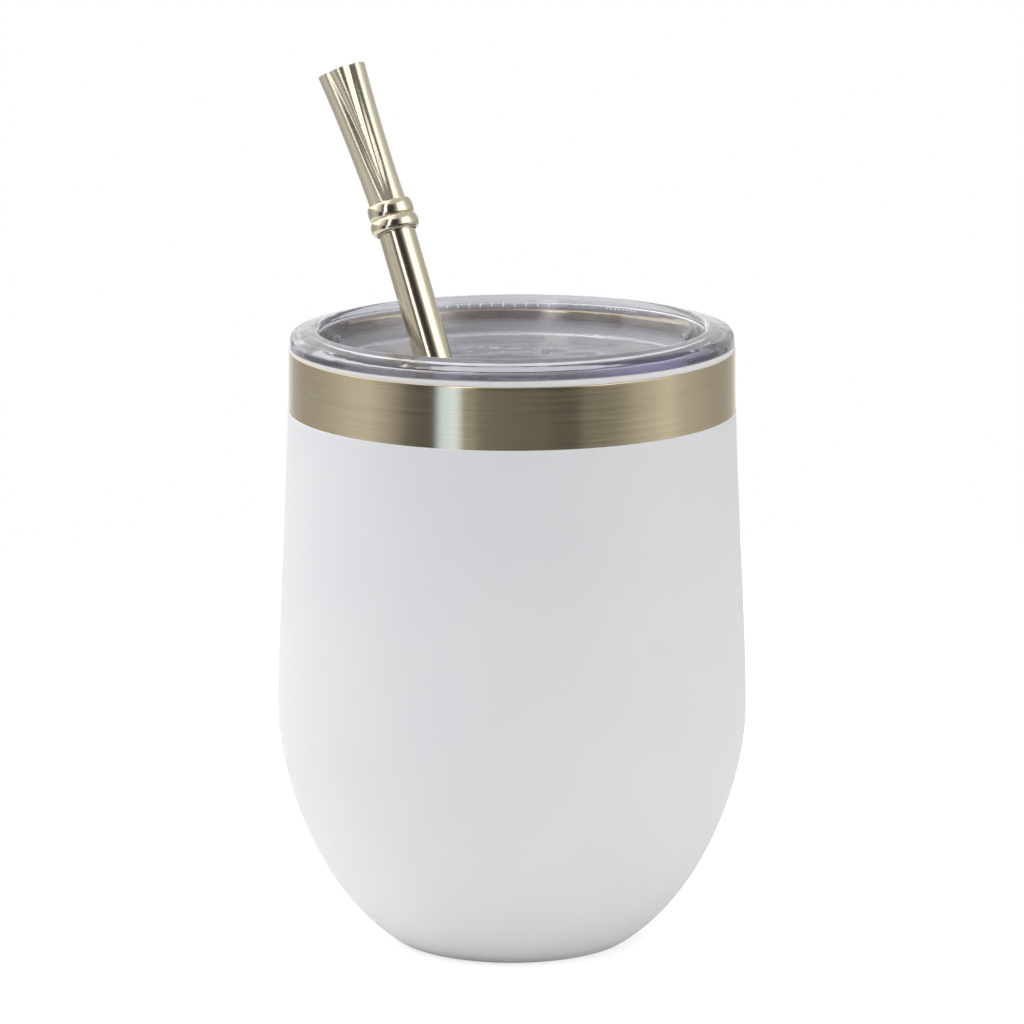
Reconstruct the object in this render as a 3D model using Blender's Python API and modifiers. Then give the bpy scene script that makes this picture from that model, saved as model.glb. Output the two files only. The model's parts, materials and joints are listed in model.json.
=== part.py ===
"""Stemless steel tumbler with a clear press-in lid and a metal drinking tube for mate.

Metres, +Z up. The origin is the centre of the flat foot, on the cup's axis. The tube
leans to -X and +Y through a hole in the lid, and its lower end meets the cup's inside.
Run it with: blender --background --python part.py
"""
import math

import bmesh
import bpy
from mathutils import Euler, Matrix, Vector

# Cup: the outside, from the flat foot over the belly to the rim
BELLY_RADIUS = 0.0440
BELLY_HEIGHT = 0.0431
FOOT_RADIUS = 0.0226
RIM_RADIUS = 0.04154
RIM_HEIGHT = 0.1122
DROP_POWER = 1.63
SIDE_POWER = 2.58
TAPER_POWER = 1.67

# Cup: the coated outer wall and the bare steel above and inside it
COAT_TOP = 0.1008
COAT_WALL = 0.0009
COAT_FLOOR = 0.0010
BARE_STEP = 0.00012
LINER_BELLY_RADIUS = 0.0400
LINER_RIM_RADIUS = 0.0382
LINER_FLOOR_RADIUS = 0.0190
LINER_FLOOR_HEIGHT = 0.0070
LINER_WALL = 0.0008
LIP_ROUND = 0.0005
SKIRT_WALL = 0.0006
SKIRT_FOOT = 0.0965
SKIRT_ROOT = 0.1080
FIT_GAP = 0.0003

# Lid: a sloping rim, hollow below, round a well that hangs inside the cup's lip. It isn't
# pressed quite home: the two slopes, rise over run, lift its front and its right side
LID_FRONT_UP = 0.0113
LID_RIGHT_UP = 0.0070
LID_RADIUS = 0.0412
LID_SIDE = 0.0009
LID_SHOULDER = 0.0014
LID_EDGE = 0.0002
LID_CREST_RADIUS = 0.0369
LID_CREST_HEIGHT = 0.1161
LID_CREST_ROUND = 0.0013
WELL_SLOPE = math.radians(23)
WELL_FLOOR_HEIGHT = 0.1095
WELL_CORNER = 0.0018
PLATE_THICKNESS = 0.0016
CAVITY_OUTSIDE = 0.0396
CAVITY_INSIDE = 0.0372
CAVITY_TOP = 0.1143
CAVITY_FALL = 0.0003
SKIRT_OUTSIDE = 0.0365
SKIRT_INSIDE = 0.0351
SKIRT_BOTTOM = 0.1040
BEAD_HEIGHT = 0.1062
BEAD_HALF = 0.0012
BEAD_RADIUS = 0.0378
HOLE_RADIUS = 0.0060
HOLE_SHIFT = 0.0012

# Drinking tube: where it passes the lid's floor, and its lean as run over rise
TUBE_PASS = Vector((-0.0150, 0.0060, 0.1100))
TUBE_LEAN = (-0.304, 0.330)
TUBE_RADIUS = 0.0035
TUBE_WALL = 0.0005
TUBE_FOOT_HEIGHT = 0.0172
COLLAR_HEIGHT = 0.1341
JOINT_OFFSET = 0.0004

# Collar: two rounded beads on a thin sleeve, over the joint of tube and mouthpiece
COLLAR_HALF = 0.0029
COLLAR_BORE = 0.00375
COLLAR_SLEEVE = 0.00400
BEAD_PITCH = 0.0028
LOWER_BEAD_RADIUS = 0.00460
UPPER_BEAD_RADIUS = 0.00435

# Mouthpiece: flared, with two pressed grooves in front and two behind
MOUTH_LEAN = (-0.365, 0.330)
MOUTH_LENGTH = 0.0292
MOUTH_START_RADIUS = 0.00345
MOUTH_FLARE = 0.00115
MOUTH_FLARE_POWER = 2.1
MOUTH_FLATTEN = 0.15
MOUTH_WALL = 0.0005
GROOVE_DEPTH = 0.0006
GROOVE_WIDTH = math.radians(13)
GROOVE_SPREAD = math.radians(28)
GROOVE_TWIST = math.radians(6)

# How finely round things are faceted
CUP_SIDES = 48
TUBE_SIDES = 20
COLLAR_SIDES = 24
MOUTH_SIDES = 48
MERGE = 0.00001


def clear_scene():
    """Remove everything that the file opened with."""
    for item in list(bpy.data.objects):
        bpy.data.objects.remove(item, do_unlink=True)


def new_collection(name):
    """Make a collection in the scene."""
    collection = bpy.data.collections.new(name)
    bpy.context.scene.collection.children.link(collection)
    return collection


def new_material(name, colour, roughness, metallic, alpha=1.0):
    """Make a Principled material."""
    material = bpy.data.materials.new(name)
    material.use_nodes = True
    shader = material.node_tree.nodes["Principled BSDF"]
    shader.inputs["Base Color"].default_value = (*colour, 1.0)
    shader.inputs["Roughness"].default_value = roughness
    shader.inputs["Metallic"].default_value = metallic
    shader.inputs["Alpha"].default_value = alpha
    return material


def add_object(name, mesh, collection, material):
    """Put a mesh in the scene as a named sub-part, shaded smooth."""
    part = bpy.data.objects.new(name, mesh)
    mesh.materials.append(material)
    mesh.shade_smooth()
    collection.objects.link(part)
    return part


def arc(radius_at, height_at, radius, start, end, steps):
    """Points of a circular arc in the profile plane, angles in degrees from +X."""
    angles = [math.radians(start + (end - start) * i / steps) for i in range(steps + 1)]
    return [(radius_at + radius * math.cos(a), height_at + radius * math.sin(a)) for a in angles]


def turned(name, profile, sides, closed, collection, material):
    """Turn a profile of (radius, height) points round Z. A closed one is a ring."""
    count = len(profile)
    edges = [(i, i + 1) for i in range(count - 1)]
    if closed:
        edges.append((count - 1, 0))
    mesh = bpy.data.meshes.new(name)
    mesh.from_pydata([(r, 0.0, z) for r, z in profile], edges, [])
    part = add_object(name, mesh, collection, material)
    screw = part.modifiers.new("Turn", "SCREW")
    screw.axis = "Z"
    screw.steps = sides
    screw.render_steps = sides
    screw.use_merge_vertices = True
    screw.merge_threshold = MERGE
    return part


def bowl_radius(z, belly_radius, floor_height, floor_radius):
    """Radius below the belly: a superellipse, cut off at a flat floor."""
    at_floor = 1 - (floor_radius / belly_radius) ** SIDE_POWER
    reach = (BELLY_HEIGHT - floor_height) / at_floor ** (1 / DROP_POWER)
    drop = (BELLY_HEIGHT - z) / reach
    return belly_radius * (1 - drop ** DROP_POWER) ** (1 / SIDE_POWER)


def neck_radius(z, belly_radius, rim_radius):
    """Radius above the belly: a slow taper that straightens towards the rim."""
    rise = (z - BELLY_HEIGHT) / (RIM_HEIGHT - BELLY_HEIGHT)
    return belly_radius - (belly_radius - rim_radius) * math.sin(math.pi / 2 * rise) ** TAPER_POWER


def outer_radius(z):
    """Radius of the cup's outside at a height."""
    if z < BELLY_HEIGHT:
        return bowl_radius(z, BELLY_RADIUS, 0.0, FOOT_RADIUS)
    return neck_radius(z, BELLY_RADIUS, RIM_RADIUS)


def liner_radius(z, wall=0.0):
    """Radius of the liner's inside, or of its outside when given its wall."""
    belly = LINER_BELLY_RADIUS + wall
    if z < BELLY_HEIGHT:
        return bowl_radius(z, belly, LINER_FLOOR_HEIGHT - wall, LINER_FLOOR_RADIUS + wall)
    return neck_radius(z, belly, LINER_RIM_RADIUS + wall)


def wall_heights(floor_height, top_height, bowl_steps, neck_steps):
    """Heights up a wall, close together near the floor where it turns fastest."""
    depth = BELLY_HEIGHT - floor_height
    bowl = [BELLY_HEIGHT - depth * math.cos(math.pi / 2 * i / bowl_steps) for i in range(bowl_steps)]
    neck = [BELLY_HEIGHT + (top_height - BELLY_HEIGHT) * i / neck_steps for i in range(neck_steps + 1)]
    return bowl + neck


def build_shell(collection, material):
    """The coated outer wall, with the flat foot that the cup stands on."""
    inside = [(outer_radius(z) - COAT_WALL, z) for z in wall_heights(COAT_FLOOR, COAT_TOP, 8, 4)]
    outside = [(outer_radius(z), z) for z in wall_heights(0.0, COAT_TOP, 10, 6)]
    profile = [(0.0, COAT_FLOOR)] + inside + outside[::-1] + [(0.0, 0.0)]
    return turned("outer_shell", profile, CUP_SIDES, False, collection, material)


def build_liner(collection, material):
    """Bare steel: the inside, the rolled lip, the band and a skirt behind the coated wall."""
    lip_outside = outer_radius(RIM_HEIGHT) - BARE_STEP
    lip_height = RIM_HEIGHT - LIP_ROUND
    inside = [(liner_radius(z), z) for z in wall_heights(LINER_FLOOR_HEIGHT, lip_height, 8, 4)]
    lip = arc(LINER_RIM_RADIUS + LIP_ROUND, lip_height, LIP_ROUND, 150, 90, 2)
    lip += arc(lip_outside - LIP_ROUND, lip_height, LIP_ROUND, 90, 0, 3)
    band_foot = COAT_TOP + FIT_GAP
    band = [(outer_radius(z) - BARE_STEP, z) for z in (0.1060, band_foot)]
    skirt_outside = outer_radius(band_foot) - COAT_WALL - FIT_GAP
    skirt_inside = skirt_outside - SKIRT_WALL
    skirt = [(skirt_outside, band_foot), (skirt_outside, SKIRT_FOOT), (skirt_inside, SKIRT_FOOT)]
    root = [(skirt_inside, SKIRT_ROOT), (liner_radius(SKIRT_ROOT, LINER_WALL), SKIRT_ROOT)]
    heights = wall_heights(LINER_FLOOR_HEIGHT - LINER_WALL, SKIRT_ROOT, 8, 4)[:-1]
    back = [(liner_radius(z, LINER_WALL), z) for z in heights]
    floor = LINER_FLOOR_HEIGHT
    profile = [(0.0, floor)] + inside + lip + band + skirt + root + back[::-1] + [(0.0, floor - LINER_WALL)]
    return turned("steel_liner", profile, CUP_SIDES, False, collection, material)


def lid_profile():
    """The lid's section, from the middle of its floor, over its hollow rim, and back below."""
    floor = WELL_FLOOR_HEIGHT
    sine, cosine = math.sin(WELL_SLOPE), math.cos(WELL_SLOPE)
    slope = math.degrees(WELL_SLOPE)
    crest_height = LID_CREST_HEIGHT - LID_CREST_ROUND
    corner_height = floor + WELL_CORNER
    wall_top_radius = LID_CREST_RADIUS - LID_CREST_ROUND * cosine
    wall_rise = crest_height + LID_CREST_ROUND * sine - corner_height
    corner_radius = wall_top_radius - (sine * wall_rise + WELL_CORNER) / cosine
    corner = arc(corner_radius, corner_height, WELL_CORNER, -90, -slope, 3)
    crest = arc(LID_CREST_RADIUS, crest_height, LID_CREST_ROUND, 180 - slope, 78, 4)
    side_foot = RIM_HEIGHT + FIT_GAP + LID_RADIUS * math.hypot(LID_FRONT_UP, LID_RIGHT_UP)
    shoulder = arc(LID_RADIUS - LID_SHOULDER, side_foot + LID_SIDE, LID_SHOULDER, 78, 0, 4)
    under = [(LID_RADIUS, side_foot + LID_EDGE), (LID_RADIUS - LID_EDGE, side_foot)]
    cavity = [(CAVITY_OUTSIDE, side_foot), (CAVITY_OUTSIDE, CAVITY_TOP - CAVITY_FALL)]
    cavity += [(CAVITY_INSIDE, CAVITY_TOP), (SKIRT_OUTSIDE, side_foot)]
    bead = [(SKIRT_OUTSIDE, BEAD_HEIGHT + BEAD_HALF), (BEAD_RADIUS, BEAD_HEIGHT + BEAD_HALF / 3)]
    bead += [(BEAD_RADIUS, BEAD_HEIGHT - BEAD_HALF / 3), (SKIRT_OUTSIDE, BEAD_HEIGHT - BEAD_HALF)]
    skirt = [(SKIRT_OUTSIDE, SKIRT_BOTTOM), (SKIRT_INSIDE, SKIRT_BOTTOM)]
    below = [(SKIRT_INSIDE, floor - PLATE_THICKNESS), (0.0, floor - PLATE_THICKNESS)]
    return [(0.0, floor)] + corner + crest + shoulder + under + cavity + bead + skirt + below


def lid_seat():
    """How the lid sits: tipped about the middle of the cup's lip."""
    pivot = Vector((0.0, 0.0, RIM_HEIGHT))
    tip = Euler((-math.atan(LID_FRONT_UP), -math.atan(LID_RIGHT_UP), 0.0)).to_matrix().to_4x4()
    return Matrix.Translation(pivot) @ tip @ Matrix.Translation(-pivot)


def build_lid(collection, cutters, material):
    """The clear lid, with the round hole that the tube leans in."""
    lid = turned("clear_lid", lid_profile(), CUP_SIDES, False, collection, material)
    lid.matrix_world = lid_seat()
    lean = Vector((*TUBE_LEAN, 0.0)).normalized()
    centre = tube_point(WELL_FLOOR_HEIGHT) - lean * HOLE_SHIFT
    mesh = bpy.data.meshes.new("tube_hole")
    work = bmesh.new()
    depth = 0.02
    bmesh.ops.create_cone(work, cap_ends=True, segments=TUBE_SIDES, radius1=HOLE_RADIUS,
                          radius2=HOLE_RADIUS, depth=depth)
    work.to_mesh(mesh)
    work.free()
    cutter = bpy.data.objects.new("tube_hole", mesh)
    cutter.location = (centre.x, centre.y, WELL_FLOOR_HEIGHT)
    cutter.hide_render = True
    cutter.display_type = "WIRE"
    cutters.objects.link(cutter)
    cut = lid.modifiers.new("Tube hole", "BOOLEAN")
    cut.operation = "DIFFERENCE"
    cut.object = cutter
    return lid


def tube_point(z):
    """A point on the drinking tube's axis at a height."""
    rise = z - TUBE_PASS.z
    return TUBE_PASS + Vector((TUBE_LEAN[0] * rise, TUBE_LEAN[1] * rise, rise))


def along(lean, origin):
    """A placement whose local Z runs up a lean and whose local -Y faces the front."""
    axis = Vector((lean[0], lean[1], 1.0)).normalized()
    side = axis.cross(Vector((0.0, -1.0, 0.0))).normalized() * -1
    rows = Matrix((side, axis.cross(side), axis)).transposed()
    return Matrix.Translation(origin) @ rows.to_4x4()


def build_tube(collection, material):
    """The round tube from the cup's inside up into the collar."""
    foot = tube_point(TUBE_FOOT_HEIGHT)
    length = (tube_point(COLLAR_HEIGHT) - foot).length - JOINT_OFFSET / 2
    mesh = bpy.data.meshes.new("drinking_tube")
    work = bmesh.new()
    bmesh.ops.create_cone(work, cap_ends=False, segments=TUBE_SIDES, radius1=TUBE_RADIUS,
                          radius2=TUBE_RADIUS, depth=length,
                          matrix=Matrix.Translation((0, 0, length / 2)))
    bmesh.ops.recalc_face_normals(work, faces=work.faces)
    work.to_mesh(mesh)
    work.free()
    tube = add_object("drinking_tube", mesh, collection, material)
    tube.matrix_world = along(TUBE_LEAN, foot)
    wall = tube.modifiers.new("Wall", "SOLIDIFY")
    wall.thickness = TUBE_WALL
    wall.offset = -1
    return tube


def bead_radius(height):
    """Outer radius of the collar at a height along it: two beads and the sleeve between."""
    half = BEAD_PITCH / 2
    beads = ((-half, LOWER_BEAD_RADIUS), (half, UPPER_BEAD_RADIUS))
    radius = COLLAR_SLEEVE
    for centre, top in beads:
        inside = 1 - ((height - centre) / half) ** 2
        if inside > 0:
            radius = max(radius, COLLAR_SLEEVE + (top - COLLAR_SLEEVE) * math.sqrt(inside))
    return radius


def build_collar(collection, material):
    """The ring with two beads that covers the joint."""
    steps = 16
    heights = [COLLAR_HALF - 2 * COLLAR_HALF * i / steps for i in range(steps + 1)]
    profile = [(COLLAR_BORE, COLLAR_HALF)] + [(bead_radius(h), h) for h in heights]
    profile += [(COLLAR_BORE, -COLLAR_HALF)]
    collar = turned("tube_collar", profile, COLLAR_SIDES, True, collection, material)
    collar.matrix_world = along(TUBE_LEAN, tube_point(COLLAR_HEIGHT))
    return collar


def mouth_radius(angle, rise):
    """Mouthpiece radius at an angle from the front, rise 0 at the collar to 1 at the lips."""
    radius = MOUTH_START_RADIUS + MOUTH_FLARE * rise ** MOUTH_FLARE_POWER
    depth = GROOVE_DEPTH * min(1.0, rise / 0.35)
    spread = GROOVE_SPREAD * rise
    twist = GROOVE_TWIST * (1 - rise)
    dent = 0.0
    for facing in (0.0, math.pi):
        for side in (-1, 1):
            away = angle - facing - twist - side * spread
            away = math.atan2(math.sin(away), math.cos(away))
            dent = max(dent, math.exp(-(away / GROOVE_WIDTH) ** 2))
    return radius - depth * dent


def build_mouthpiece(collection, material):
    """The fluted, flaring mouthpiece: sections lofted up its own slightly steeper lean."""
    sections = 10
    mesh = bpy.data.meshes.new("mouthpiece")
    work = bmesh.new()
    rings = []
    for level in range(sections + 1):
        rise = level / sections
        flatten = 1 - MOUTH_FLATTEN * rise
        ring = []
        for i in range(MOUTH_SIDES):
            angle = 2 * math.pi * i / MOUTH_SIDES
            radius = mouth_radius(angle, rise)
            place = (radius * math.sin(angle), -radius * math.cos(angle) * flatten, MOUTH_LENGTH * rise)
            ring.append(work.verts.new(place))
        rings.append(ring)
    for low, high in zip(rings, rings[1:]):
        for i in range(MOUTH_SIDES):
            j = (i + 1) % MOUTH_SIDES
            work.faces.new((low[i], low[j], high[j], high[i]))
    work.to_mesh(mesh)
    work.free()
    mouth = add_object("mouthpiece", mesh, collection, material)
    joint = along(TUBE_LEAN, tube_point(COLLAR_HEIGHT)) @ Vector((0, 0, JOINT_OFFSET))
    mouth.matrix_world = along(MOUTH_LEAN, joint)
    wall = mouth.modifiers.new("Wall", "SOLIDIFY")
    wall.thickness = MOUTH_WALL
    wall.offset = -1
    return mouth


def main():
    """Build the cup, its lid and its drinking tube."""
    clear_scene()
    parts = new_collection("Mate tumbler")
    cutters = new_collection("Cutters")
    coat = new_material("White powder coat", (0.86, 0.87, 0.89), 0.55, 0.0)
    steel = new_material("Brushed steel", (0.62, 0.58, 0.50), 0.32, 1.0)
    clear = new_material("Clear plastic", (0.92, 0.92, 0.95), 0.05, 0.0, 0.35)
    polished = new_material("Polished steel", (0.70, 0.66, 0.58), 0.14, 1.0)
    build_shell(parts, coat)
    build_liner(parts, steel)
    build_lid(parts, cutters, clear)
    build_tube(parts, polished)
    build_collar(parts, polished)
    build_mouthpiece(parts, polished)


main()
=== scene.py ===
# %% [markdown]
# # A white mate tumbler, piece by piece
# The real object is a double-wall steel cup with a white powder coat, a bare brushed band at the lip, a
# clear moulded lid pressed into that lip, and a polished metal drinking tube that leans out of a hole in
# the lid. A frame of plain solids holds every size. This script puts the fine surface and the finish over
# it.

# %% Load the frame
import json
import math

import bmesh
import bpy
from mathutils import Euler, Matrix, Vector

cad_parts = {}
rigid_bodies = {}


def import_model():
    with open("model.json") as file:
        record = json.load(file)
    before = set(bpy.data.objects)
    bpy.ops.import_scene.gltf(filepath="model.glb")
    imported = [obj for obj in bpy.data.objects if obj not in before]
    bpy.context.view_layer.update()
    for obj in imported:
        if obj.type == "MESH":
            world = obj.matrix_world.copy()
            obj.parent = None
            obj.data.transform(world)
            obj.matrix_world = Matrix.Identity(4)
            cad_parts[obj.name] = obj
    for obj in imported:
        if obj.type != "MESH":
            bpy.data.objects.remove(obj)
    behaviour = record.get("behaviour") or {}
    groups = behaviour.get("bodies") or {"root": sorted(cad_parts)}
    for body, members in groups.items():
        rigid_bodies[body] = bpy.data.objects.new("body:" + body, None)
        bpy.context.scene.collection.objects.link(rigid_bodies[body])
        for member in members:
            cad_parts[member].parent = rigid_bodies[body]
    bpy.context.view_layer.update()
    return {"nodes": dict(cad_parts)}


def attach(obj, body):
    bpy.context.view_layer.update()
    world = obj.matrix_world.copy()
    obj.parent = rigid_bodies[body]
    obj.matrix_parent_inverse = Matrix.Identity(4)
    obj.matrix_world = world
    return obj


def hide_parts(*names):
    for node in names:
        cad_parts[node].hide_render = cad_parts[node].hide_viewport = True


for item in list(bpy.data.objects):
    bpy.data.objects.remove(item, do_unlink=True)

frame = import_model()
print("frame nodes:", ", ".join(sorted(frame["nodes"])))

# %% [markdown]
# ## Small helpers
# Colours are picked as sRGB hex, the way a paint chart or a picture editor gives them, but shaders
# compute in linear light, so one function turns them. Another adds a node with its settings and links,
# for shaders and for Geometry Nodes alike, which keeps the trees below short enough to read.

# %% Colours and nodes
def linear(hex_colour):
    """An sRGB hex colour as linear RGBA."""
    parts = [int(hex_colour[i:i + 2], 16) / 255 for i in (1, 3, 5)]
    return (*[p / 12.92 if p <= 0.04045 else ((p + 0.055) / 1.055) ** 2.4 for p in parts], 1.0)


def add_node(tree, kind, inputs=None, **settings):
    """Add a node: settings are its properties, inputs give its sockets a value or a link."""
    made = tree.nodes.new(kind)
    for name, value in settings.items():
        setattr(made, name, value)
    for socket, value in (inputs or {}).items():
        if isinstance(value, bpy.types.NodeSocket):
            tree.links.new(value, made.inputs[socket])
        else:
            made.inputs[socket].default_value = value
    return made


def new_material(name):
    """An empty material with its output node: (material, tree, output)."""
    material = bpy.data.materials.new(name)
    material.use_nodes = True
    tree = material.node_tree
    tree.nodes.clear()
    return material, tree, add_node(tree, "ShaderNodeOutputMaterial")


def fill_ramp(ramp, stops):
    """Give a colour ramp its stops, as (place, colour) pairs from low to high."""
    stops = sorted(stops, key=lambda stop: stop[0])
    while len(ramp.elements) < len(stops):
        ramp.elements.new(1.0)
    for element, (place, colour) in zip(ramp.elements, stops):
        element.position = place
        element.color = colour


print("helpers ready")

# %% [markdown]
# ## Camera
# Product pictures are taken with a long lens from a little above the rim, so the cup hardly narrows
# towards its foot and the lid shows as a flat ellipse. The pitch was found from how flat that ellipse is.

# %% Camera
CAMERA_PLACE = (0.0, -1.0, 0.2928)
CAMERA_PITCH = math.radians(11.97)
LENS_MM = 192.5

camera_data = bpy.data.cameras.new("camera")
camera_data.lens = LENS_MM
camera_data.sensor_width = 36.0
camera_data.clip_start = 0.05
camera = bpy.data.objects.new("camera", camera_data)
camera.location = CAMERA_PLACE
camera.rotation_euler = (math.pi / 2 - CAMERA_PITCH, 0.0, 0.0)
bpy.context.scene.collection.objects.link(camera)
bpy.context.scene.camera = camera
bpy.context.scene.view_settings.view_transform = "Standard"
print("camera looks down by", round(math.degrees(CAMERA_PITCH), 2), "degrees")

# %% [markdown]
# ## Light tent and floor
# Bare metal shows nothing but what stands round it, so the light is a tent of soft white walls: broad
# panels at both sides, one slim cool strip in front at the left, a dark gap where the camera looks in,
# and a bright wall behind. A colour ramp round the compass makes the walls, one for low down and one for
# high up, and the two are mixed by height. The roof is brighter on the left, which models the cup softly
# from that side. The floor is a lit white sheet: the camera sees it bright, so shadows stay faint, but
# what it throws on the cup is plain.

# %% World
# Each stop is a compass direction in degrees, a brightness and a tint; 0 is the front, 90 the right
LOW_WALL = [(-180, 1.05, "#F4FAFF"), (-166, 0.92, "#F4FAFF"), (-152, 0.54, "#FFFFFF"),
            (-135, 0.43, "#FFFFFF"), (-118, 0.44, "#FFFFFF"), (-103, 0.51, "#FFFFFF"),
            (-90, 0.63, "#FFFFFF"), (-78, 0.64, "#FFFFFF"), (-69, 0.46, "#FFFFFF"),
            (-62, 0.30, "#FFFFFF"), (-55, 0.08, "#FFFFFF"), (-49, 0.02, "#FFFFFF"),
            (-40, 0.02, "#FFFFFF"), (-37, 1.70, "#C2DAFF"), (-28, 1.70, "#C2DAFF"),
            (-24, 0.12, "#FFFFFF"), (-20, 0.24, "#FFFFFF"), (-15, 0.13, "#FFFFFF"),
            (16, 0.08, "#FFFFFF"), (24, 0.03, "#FFFFFF"), (33, 0.01, "#FFFFFF"), (38, 0.10, "#FFFFFF"),
            (48, 0.05, "#FFFFFF"), (57, 0.16, "#FFFFFF"), (66, 0.38, "#FFFFFF"), (87, 0.76, "#FFFFFF"),
            (99, 0.57, "#FFFFFF"), (130, 0.42, "#FFFFFF"), (145, 0.46, "#FFFCF6"),
            (156, 0.56, "#FFFCF6"), (180, 1.05, "#FFFCF6")]
HIGH_WALL = [(-180, 1.00, "#FFFFFF"), (-160, 1.60, "#FFFFFF"), (-82, 1.60, "#FFFFFF"),
             (-70, 1.00, "#FFFFFF"), (-60, 0.78, "#FFFFFF"), (-50, 0.50, "#FFFFFF"),
             (-42, 0.14, "#FFFFFF"), (-35, 0.06, "#FFFFFF"), (-31, 2.30, "#FFFFFF"),
             (-22, 2.30, "#FFFFFF"), (-18, 0.22, "#FFFFFF"), (-12, 0.05, "#FFFFFF"),
             (12, 0.04, "#FFFFFF"), (22, 0.14, "#FFFFFF"), (30, 0.34, "#FFFFFF"), (38, 0.85, "#FFFFFF"),
             (46, 2.10, "#FFFFFF"), (78, 1.80, "#FFFFFF"), (88, 1.10, "#FFFFFF"), (100, 0.68, "#FFFFFF"),
             (112, 0.60, "#FFFFFF"), (131, 0.52, "#FFFFFF"), (150, 0.60, "#FFFFFF"),
             (180, 1.10, "#FFFFFF")]
WALL_MAX = 2.4
WALL_CHANGE = (-0.02, 0.10)
ROOF_START = (0.60, 0.72)
ROOF_ACROSS = (-0.35, 0.10)
LEFT_ROOF = 1.75
RIGHT_ROOF = 0.66


def wall_stops(wall):
    """Ramp stops from (compass degrees, brightness, tint), with the front in the middle."""
    stops = []
    for degrees, brightness, tint in wall:
        red, green, blue, _ = linear(tint)
        level = brightness / WALL_MAX
        stops.append((degrees / 360 + 0.5, (red * level, green * level, blue * level, 1.0)))
    return stops


def tent_colour(tree):
    """The tent's colour by direction: the low walls, the high walls, and the roof over them."""
    place = add_node(tree, "ShaderNodeTexCoord")
    axes = add_node(tree, "ShaderNodeSeparateXYZ", {0: place.outputs["Generated"]})
    front = add_node(tree, "ShaderNodeMath", {0: axes.outputs["Y"], 1: -1.0}, operation="MULTIPLY")
    compass = add_node(tree, "ShaderNodeMath", {0: axes.outputs["X"], 1: front.outputs[0]},
                       operation="ARCTAN2")
    turn = add_node(tree, "ShaderNodeMapRange", {"Value": compass.outputs[0], "From Min": -math.pi,
                                                 "From Max": math.pi})
    low = add_node(tree, "ShaderNodeValToRGB", {"Fac": turn.outputs[0]})
    high = add_node(tree, "ShaderNodeValToRGB", {"Fac": turn.outputs[0]})
    fill_ramp(low.color_ramp, wall_stops(LOW_WALL))
    fill_ramp(high.color_ramp, wall_stops(HIGH_WALL))
    rise = add_node(tree, "ShaderNodeMapRange", {
        "Value": axes.outputs["Z"], "From Min": WALL_CHANGE[0], "From Max": WALL_CHANGE[1]},
        interpolation_type="SMOOTHSTEP")
    walls = add_node(tree, "ShaderNodeMix", {
        "Factor": rise.outputs[0], 6: low.outputs[0], 7: high.outputs[0]}, data_type="RGBA")
    roof = add_node(tree, "ShaderNodeMapRange", {
        "Value": axes.outputs["Z"], "From Min": ROOF_START[0], "From Max": ROOF_START[1]},
        interpolation_type="SMOOTHSTEP")
    lamp = add_node(tree, "ShaderNodeMapRange", {
        "Value": axes.outputs["X"], "From Min": ROOF_ACROSS[0], "From Max": ROOF_ACROSS[1],
        "To Min": LEFT_ROOF / WALL_MAX, "To Max": RIGHT_ROOF / WALL_MAX})
    tent = add_node(tree, "ShaderNodeMix", {
        "Factor": roof.outputs[0], 6: walls.outputs[2], 7: lamp.outputs[0]}, data_type="RGBA")
    return tent.outputs[2]


def build_world():
    """A world that lights with the tent, and is plain white where the camera looks past the cup."""
    world = bpy.data.worlds.new("light_tent")
    bpy.context.scene.world = world
    world.use_nodes = True
    tree = world.node_tree
    tree.nodes.clear()
    light = add_node(tree, "ShaderNodeBackground", {"Color": tent_colour(tree), "Strength": WALL_MAX})
    plain = add_node(tree, "ShaderNodeBackground", {"Color": linear("#FFFFFF"), "Strength": 1.0})
    path = add_node(tree, "ShaderNodeLightPath")
    seen = add_node(tree, "ShaderNodeMixShader", {0: path.outputs["Is Camera Ray"], 1: light.outputs[0],
                                                  2: plain.outputs[0]})
    add_node(tree, "ShaderNodeOutputWorld", {"Surface": seen.outputs[0]})
    return world


build_world()
print("tent walls:", len(LOW_WALL), "low stops,", len(HIGH_WALL), "high stops")

# %% Floor
FLOOR_RADIUS = 0.36
FLOOR_GLOW = 0.50
FLOOR_BOUNCE = "#F6F6F6"


def lit_acrylic():
    """Opal acrylic over a lamp. The lamp is only for the camera: the cup sees a plain white sheet."""
    material, tree, output = new_material("opal_acrylic_lit")
    seen = add_node(tree, "ShaderNodeBsdfPrincipled", {
        "Base Color": linear("#F2F2F2"), "Roughness": 0.9, "Specular IOR Level": 0.0,
        "Emission Color": linear("#FFFFFF"), "Emission Strength": FLOOR_GLOW})
    bounce = add_node(tree, "ShaderNodeBsdfDiffuse", {"Color": linear(FLOOR_BOUNCE)})
    path = add_node(tree, "ShaderNodeLightPath")
    mixed = add_node(tree, "ShaderNodeMixShader", {0: path.outputs["Is Camera Ray"], 1: bounce.outputs[0],
                                                   2: seen.outputs[0]})
    tree.links.new(mixed.outputs[0], output.inputs["Surface"])
    return material


def build_floor():
    """A round white sheet, just under the cup's foot."""
    mesh = bpy.data.meshes.new("floor")
    work = bmesh.new()
    bmesh.ops.create_circle(work, cap_ends=True, segments=128, radius=FLOOR_RADIUS)
    work.to_mesh(mesh)
    work.free()
    floor = bpy.data.objects.new("floor", mesh)
    bpy.context.scene.collection.objects.link(floor)
    mesh.materials.append(lit_acrylic())
    return floor


build_floor()
print("floor", round(FLOOR_RADIUS * 2000), "mm across")

# %% [markdown]
# ## Sizes
# All the cup's walls follow two curves. Below the belly the section is a superellipse, fuller than a
# circle, and above it the wall tapers slowly to the lip. The two curves and their sizes are the solid
# frame's, in metres.

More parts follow.
